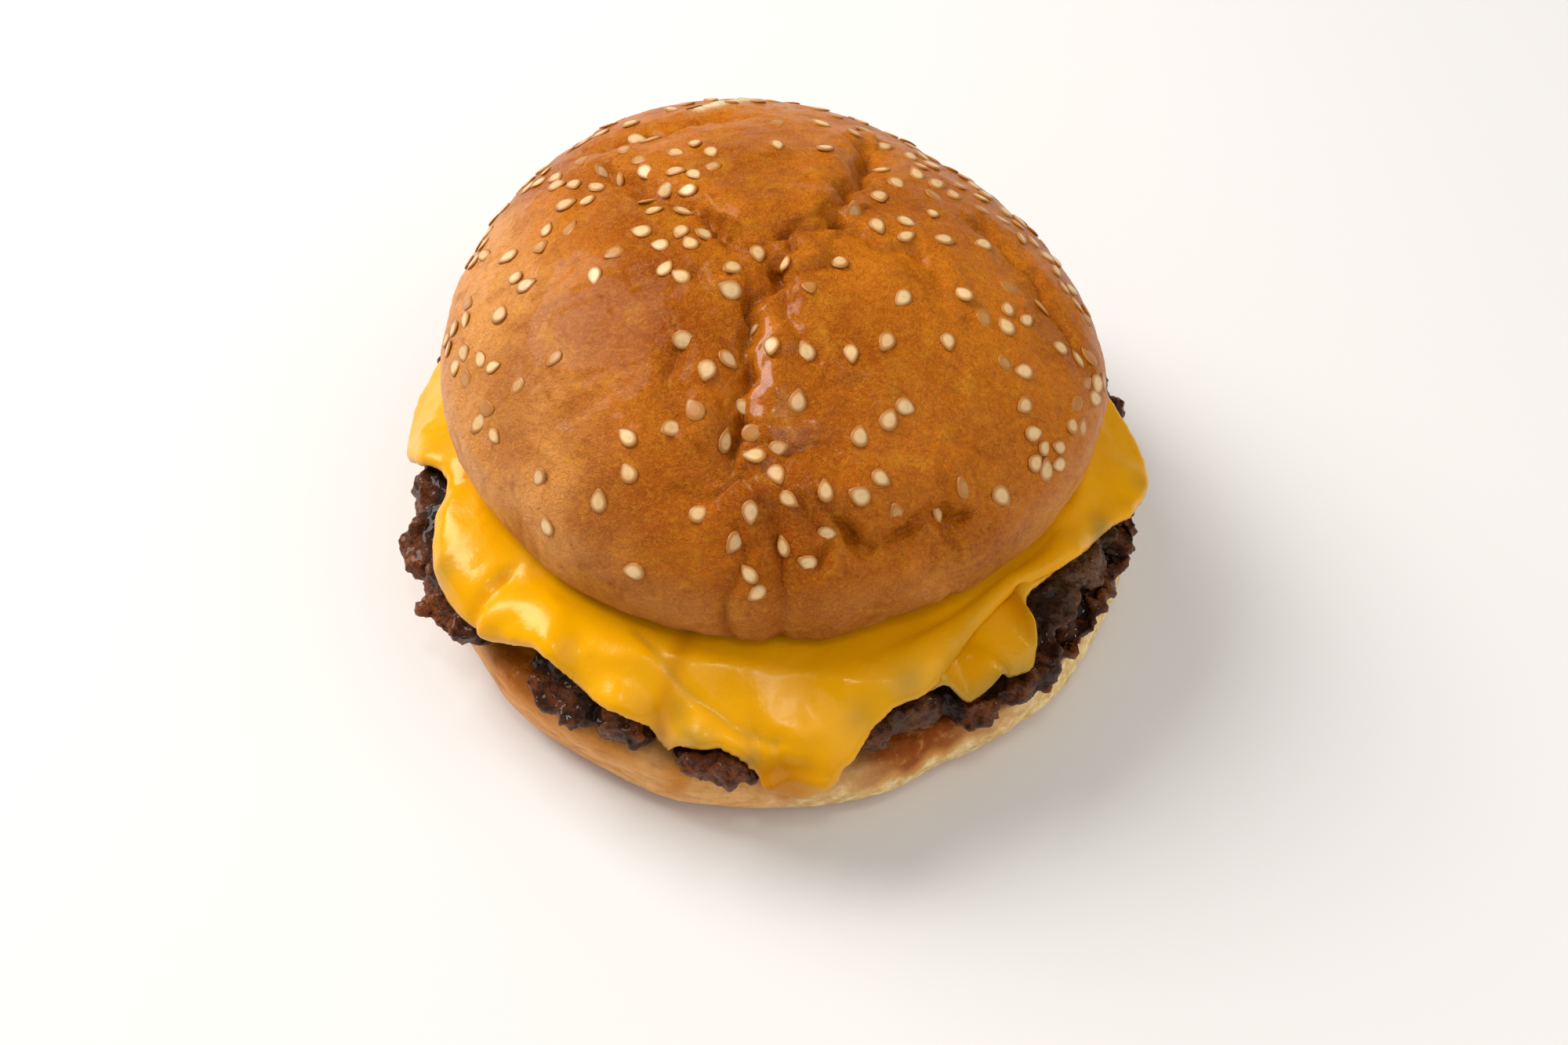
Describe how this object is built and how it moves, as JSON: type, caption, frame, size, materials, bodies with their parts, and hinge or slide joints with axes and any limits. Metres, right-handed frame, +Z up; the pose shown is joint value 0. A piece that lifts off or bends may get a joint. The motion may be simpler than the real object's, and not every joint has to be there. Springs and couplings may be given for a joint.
{
  "type": "cheeseburger",
  "caption": "Cheeseburger in a round seeded bun: folded glossy crown, melted square cheese slices, crumbly beef patty and flat-cut heel.",
  "frame": {"origin": "centre of the bounding box's bottom face, on the surface that the heel stands on", "axes": "+Z up through the layers, -Y towards the side where the cheese's corner hangs down, +X to the right seen from there"},
  "size_m": [0.11, 0.1124, 0.0601],
  "materials": {
    "bun_crown": "baked bread crust with an egg wash, glossy orange brown",
    "cheese_upper": "melted processed cheese, smooth and satin",
    "cheese_lower": "melted processed cheese, smooth and satin",
    "patty": "seared ground beef, dark, crusty and moist",
    "bun_heel": "soft bread, pale crumb with a tan crust"
  },
  "bodies": {
    "root": {"bun_crown": "bun_crown", "cheese_upper": "cheese_upper", "cheese_lower": "cheese_lower", "patty": "patty", "bun_heel": "bun_heel"}
  },
  "joints": []
}
